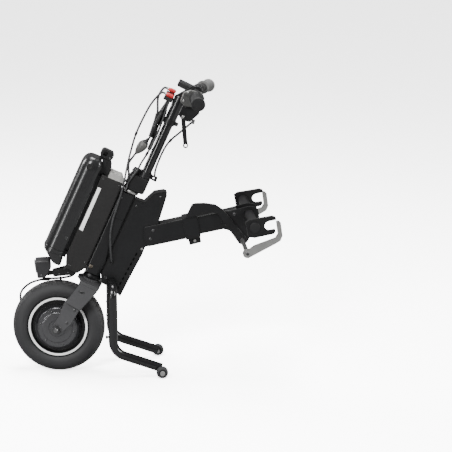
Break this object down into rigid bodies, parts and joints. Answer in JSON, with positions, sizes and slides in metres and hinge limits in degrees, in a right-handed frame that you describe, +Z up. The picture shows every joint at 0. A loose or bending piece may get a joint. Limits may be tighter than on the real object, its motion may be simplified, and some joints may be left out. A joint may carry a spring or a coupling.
{
  "type": "clip-on powered handbike",
  "caption": "Clip-on powered front drive unit for a wheelchair: motor wheel in a fork, battery, column with bar, folding stand and docking beam.",
  "frame": {"origin": "centre of the bounding box on the floor", "axes": "-X forward in the direction of travel, +Z up, -Y the unit's left side"},
  "size_m": [0.7228, 0.4404, 0.8022],
  "materials": {
    "frame_paint": "satin black paint",
    "black_aluminium": "satin black paint on aluminium",
    "fork_grey": "dark grey paint on aluminium",
    "black_moulding": "fine matt moulding",
    "battery_gloss": "gloss black moulding",
    "button_rubber": "matt rubber",
    "tyre_rubber": "black tread rubber",
    "rim_black": "black anodised rim",
    "motor_black": "black motor case",
    "cover_grey": "dark grey motor cover",
    "bare_steel": "plain steel",
    "light_alloy": "blasted light alloy",
    "silver_alloy": "silver casting",
    "grip_grey": "ribbed grey rubber",
    "lamp_lens": "clear lens",
    "red_plastic": "red connector",
    "cable_black": "cable jacket",
    "roller_rubber": "black roller"
  },
  "bodies": {
    "main": {"head_housing": "black_aluminium", "headset_lower": "black_aluminium", "headset_upper": "bare_steel", "gusset_left": "black_aluminium", "gusset_right": "black_aluminium", "gusset_strip": "black_aluminium", "beam_outer": "black_aluminium", "beam_collar": "black_aluminium", "controller_case": "black_moulding", "controller_cap": "light_alloy", "battery_carrier": "black_moulding", "lamp_bracket": "black_aluminium", "stand_clamp": "black_moulding", "brake_cable": "cable_black", "power_cable_lower": "cable_black", "column_cable": "cable_black", "motor_cable": "cable_black"},
    "fork": {"fork_crown": "fork_grey", "fork_leg_left": "fork_grey", "fork_leg_right": "fork_grey", "stem_block": "black_aluminium", "column_tube": "black_aluminium", "column_clamp": "black_aluminium", "axle": "bare_steel", "axle_nut_left": "bare_steel", "axle_nut_right": "bare_steel", "brake_caliper": "black_aluminium", "power_cable_upper": "cable_black", "cable_junction": "black_moulding", "lever_cable": "cable_black"},
    "knob": {"column_knob": "black_moulding"},
    "riser": {"riser_stem": "black_aluminium", "cable_clip": "black_moulding", "red_plug_near": "red_plastic", "red_plug_far": "red_plastic"},
    "bar": {"handlebar": "black_aluminium", "grip_right": "grip_grey", "throttle_body": "silver_alloy", "brake_perch": "black_aluminium", "display": "black_moulding"},
    "throttle": {"throttle_grip": "grip_grey"},
    "lever": {"brake_lever": "black_aluminium"},
    "wheel": {"tyre": "tyre_rubber", "rim": "rim_black", "motor_shell": "motor_black", "motor_cover": "cover_grey", "brake_disc": "bare_steel"},
    "stand": {"stand_tube": "black_aluminium"},
    "left_roller": {"roller_left": "roller_rubber"},
    "right_roller": {"roller_right": "roller_rubber"},
    "battery": {"battery_pack": "battery_gloss", "battery_foot": "battery_gloss"},
    "button": {"battery_button": "button_rubber"},
    "handle": {"latch_handle": "battery_gloss"},
    "lamp": {"lamp_housing": "black_moulding", "lamp_lens": "lamp_lens"},
    "dock": {"beam_inner": "black_aluminium", "dock_frame": "black_aluminium"},
    "latch": {"latch_hooks": "frame_paint", "release_lever": "black_aluminium"}
  },
  "joints": [
    {"name": "steering", "type": "hinge", "parent": "main", "child": "fork", "pos_m": [-0.08499, 0.00957, 0.38905], "axis": [0.4131, 0, 0.9107], "range_deg": [-31, 49], "deforming": ["brake_cable", "power_cable_lower", "column_cable", "motor_cable"]},
    {"name": "wheel_spin", "type": "hinge", "parent": "fork", "child": "wheel", "pos_m": [-0.23321, 0.0138, 0.12686], "axis": [0.1425, 0.9877, -0.0646], "continuous": true},
    {"name": "riser_slide", "type": "slide", "parent": "fork", "child": "riser", "axis": [0.4131, 0, 0.9107], "range_m": [0, 0.045], "deforming": ["power_cable_upper", "lever_cable"]},
    {"name": "column_knob_turn", "type": "hinge", "parent": "fork", "child": "knob", "pos_m": [-0.01732, 0.01106, 0.56095], "axis": [0.1425, 0.9877, -0.0646], "range_deg": [-180, 180]},
    {"name": "bar_tilt", "type": "hinge", "parent": "riser", "child": "bar", "pos_m": [0.14865, 0.00113, 0.775], "axis": [0.1425, 0.9877, -0.0646], "range_deg": [-20, 20]},
    {"name": "throttle_twist", "type": "hinge", "parent": "bar", "child": "throttle", "pos_m": [0.13825, -0.12666, 0.77972], "axis": [0.027, 0.9996, -0.0123], "range_deg": [0, 60], "stiffness_Nm_per_rad": 0.4, "springref_deg": -11.46},
    {"name": "brake_lever_pull", "type": "hinge", "parent": "bar", "child": "lever", "pos_m": [0.10441, -0.09688, 0.72699], "axis": [-0.1425, -0.9877, 0.0646], "range_deg": [0, 13], "stiffness_Nm_per_rad": 1.5, "springref_deg": -11.46},
    {"name": "battery_tilt", "type": "hinge", "parent": "main", "child": "battery", "pos_m": [-0.21877, 0.00957, 0.32895], "axis": [0, -1, 0], "range_deg": [0, 18]},
    {"name": "battery_button_press", "type": "slide", "parent": "battery", "child": "button", "axis": [0, 1, 0], "range_m": [0, 0.0015], "stiffness_N_per_m": 400, "springref_m": -0.001},
    {"name": "latch_handle_lift", "type": "hinge", "parent": "main", "child": "handle", "pos_m": [-0.08656, 0.00957, 0.5962], "axis": [0, 1, 0], "range_deg": [0, 50]},
    {"name": "lamp_tilt", "type": "hinge", "parent": "main", "child": "lamp", "pos_m": [-0.27751, 0.00957, 0.276], "axis": [0, 1, 0], "range_deg": [-12, 3]},
    {"name": "stand_fold", "type": "hinge", "parent": "main", "child": "stand", "pos_m": [-0.08751, 0.00957, 0.251], "axis": [0, -1, 0], "range_deg": [0, 40]},
    {"name": "left_roller_spin", "type": "hinge", "parent": "stand", "child": "left_roller", "pos_m": [0.04449, -0.09223, 0.016], "axis": [0, 1, 0], "continuous": true},
    {"name": "right_roller_spin", "type": "hinge", "parent": "stand", "child": "right_roller", "pos_m": [0.04449, 0.11137, 0.016], "axis": [0, 1, 0], "continuous": true},
    {"name": "dock_slide", "type": "slide", "parent": "main", "child": "dock", "axis": [0.9816, 0, 0.1908], "range_m": [0, 0.05]},
    {"name": "latch_turn", "type": "hinge", "parent": "dock", "child": "latch", "pos_m": [0.27029, 0.00957, 0.36487], "axis": [0, 1, 0], "range_deg": [0, 29], "stiffness_Nm_per_rad": 2, "springref_deg": -28.65}
  ]
}
